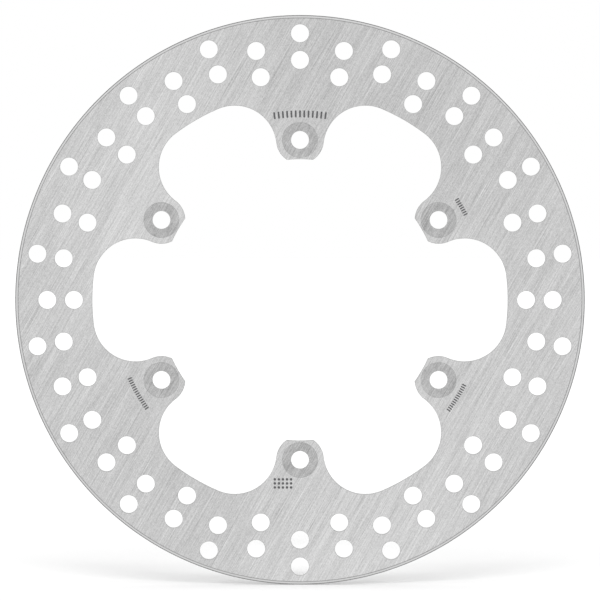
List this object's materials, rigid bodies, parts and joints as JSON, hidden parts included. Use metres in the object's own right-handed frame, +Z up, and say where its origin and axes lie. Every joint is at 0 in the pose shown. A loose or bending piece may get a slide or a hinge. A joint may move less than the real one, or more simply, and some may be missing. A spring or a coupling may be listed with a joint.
{
  "type": "brake disc rotor",
  "caption": "Rigid flat brake rotor: a drilled round braking band with a lobed centre opening and inward tabs that bolt to a wheel hub.",
  "frame": {"origin": "where the disc's axis meets the hub face, which is the centre of the bolt circle", "axes": "+Y along the disc's axis, out of the hub face; -Y out of the front face, where the bolt heads seat; +Z up through one tab, the disc standing on its edge"},
  "size_m": [0.267, 0.005, 0.267],
  "materials": {
    "ground_steel": "both faces ground flat with fine straight scratches, bare stainless steel"
  },
  "bodies": {
    "root": {"rotor_disc": "ground_steel"}
  },
  "joints": []
}
